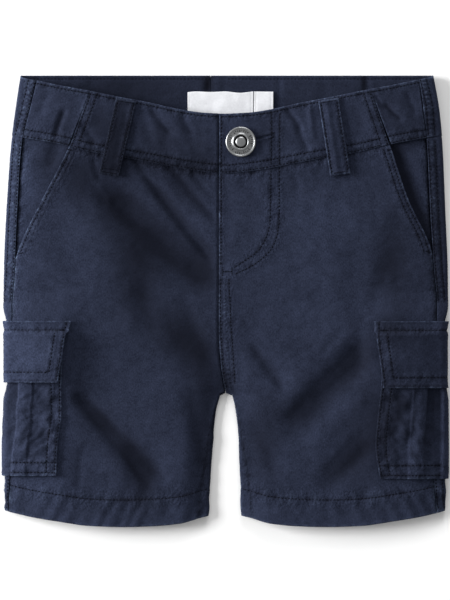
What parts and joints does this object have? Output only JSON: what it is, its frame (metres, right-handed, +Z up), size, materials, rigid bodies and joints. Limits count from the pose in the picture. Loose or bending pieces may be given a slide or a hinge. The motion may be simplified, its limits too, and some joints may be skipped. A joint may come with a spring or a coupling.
{
  "type": "cargo shorts",
  "caption": "Toddler's cotton twill cargo shorts laid flat, with slanted front pockets, flapped side pockets with inverted pleats, belt loops and a metal button.",
  "frame": {"origin": "on the surface that the shorts lie on, under the middle of their outline", "axes": "+X across the garment to the right as seen from above, +Y from the hems to the waist, +Z up from the surface through the back to the front"},
  "size_m": [0.2726, 0.2756, 0.0134],
  "materials": {
    "twill": "garment-washed navy cotton twill, matt, lighter along the seams",
    "tape": "plain white woven tape with a soft satin sheen",
    "button_metal": "antique silver, worn bright on the raised parts"
  },
  "bodies": {
    "root": {"front_panel_left": "twill", "front_panel_right": "twill", "back_panel_left": "twill", "back_panel_right": "twill", "pocket_facing_left": "twill", "pocket_facing_right": "twill", "waistband_front_left": "twill", "waistband_front_right": "twill", "waistband_side_left": "twill", "waistband_side_right": "twill", "waistband_back_left": "twill", "waistband_back_right": "twill", "cargo_pocket_left": "twill", "cargo_pocket_right": "twill", "cargo_flap_left": "twill", "cargo_flap_right": "twill", "belt_loop_front_left": "twill", "belt_loop_front_right": "twill", "belt_loop_back_left": "twill", "belt_loop_back_centre": "twill", "belt_loop_back_right": "twill", "label": "tape", "size_tab": "tape", "button": "button_metal"}
  },
  "joints": []
}
